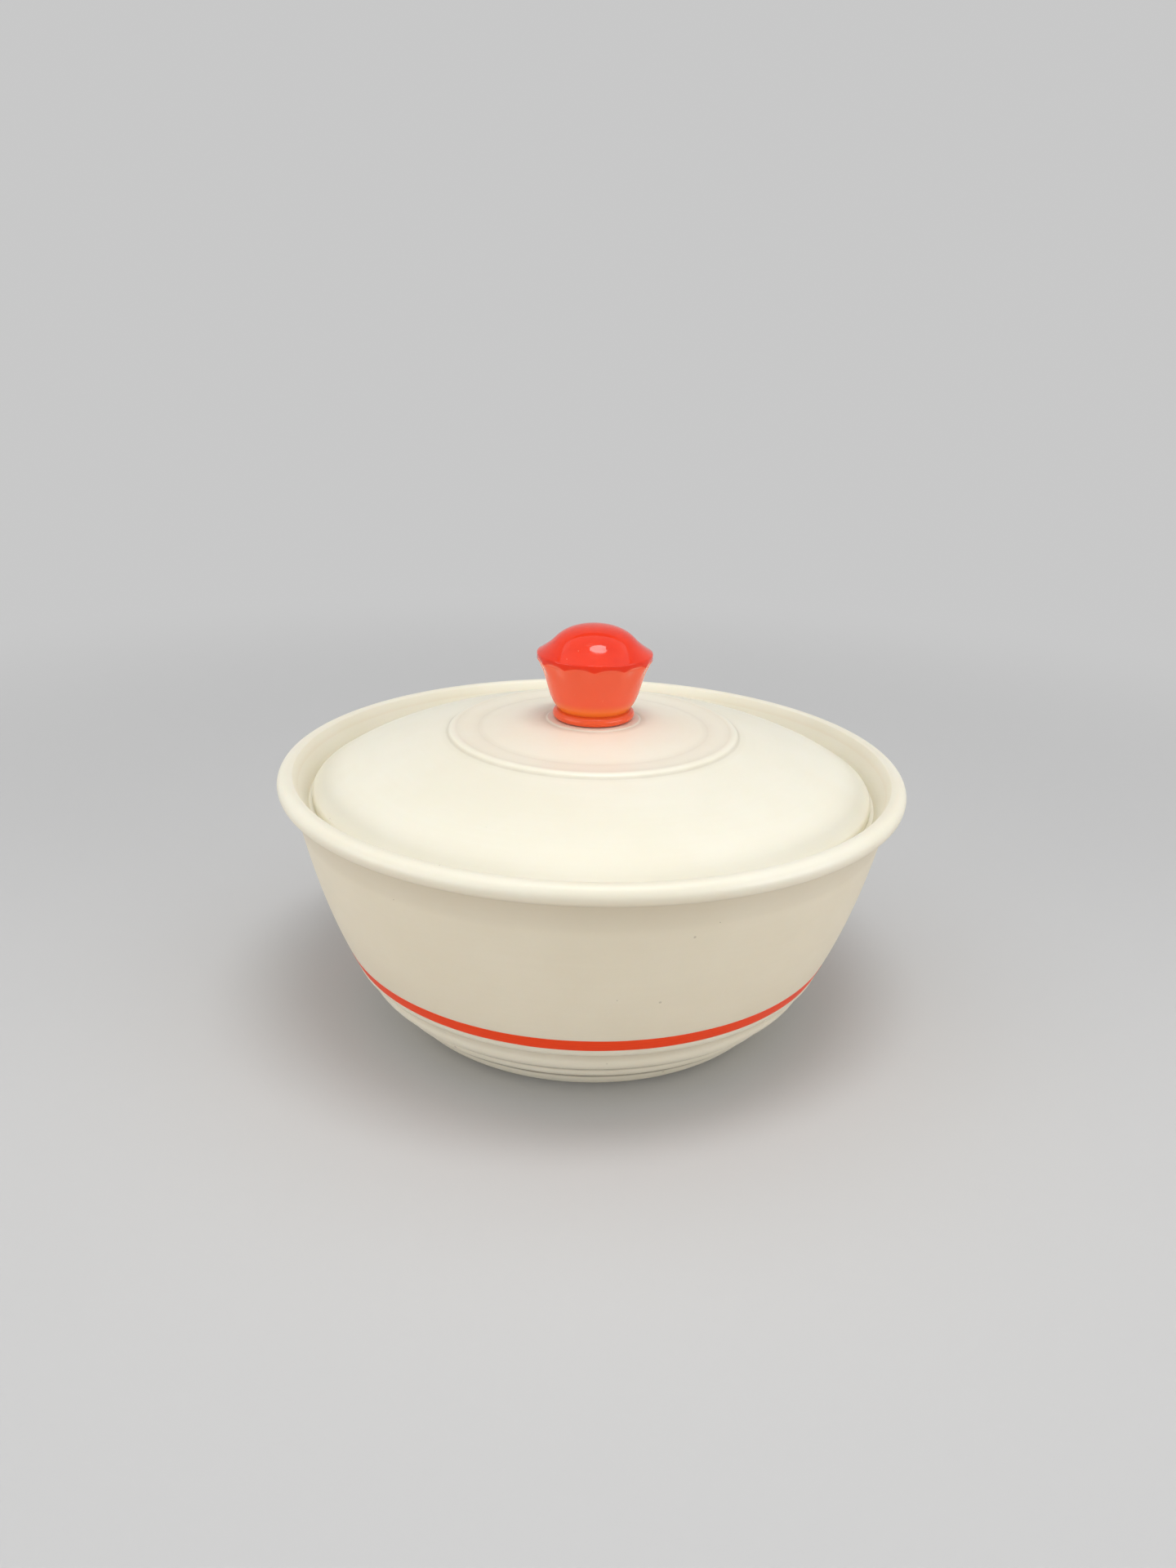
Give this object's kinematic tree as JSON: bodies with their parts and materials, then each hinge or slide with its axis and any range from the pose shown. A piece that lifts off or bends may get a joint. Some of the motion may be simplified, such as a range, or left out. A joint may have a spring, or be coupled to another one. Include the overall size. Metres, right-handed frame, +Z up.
{
  "type": "covered candy dish",
  "caption": "Round ivory covered candy dish with a rolled rim, a ridged foot, a red stripe and a domed lid that lifts off by a flared red knob.",
  "frame": {"origin": "centre of the foot ring, on the surface that the dish stands on", "axes": "+Z up the axis of the dish, towards the knob; +Y away from the viewer of the picture"},
  "size_m": [0.152, 0.152, 0.0986],
  "materials": {
    "ivory": "satin moulded plastic",
    "red_enamel": "satin enamel",
    "red_resin": "gloss cast resin",
    "brass": "plain turned"
  },
  "bodies": {
    "dish": {"bowl": "ivory", "red_band": "red_enamel"},
    "cover": {"lid": "ivory", "knob": "red_resin", "knob_screw": "brass", "screw_washer": "brass"}
  },
  "joints": [
    {"name": "lid_lift", "type": "slide", "parent": "dish", "child": "cover", "axis": [0, 0, 1], "range_m": [0, 0.12]}
  ]
}
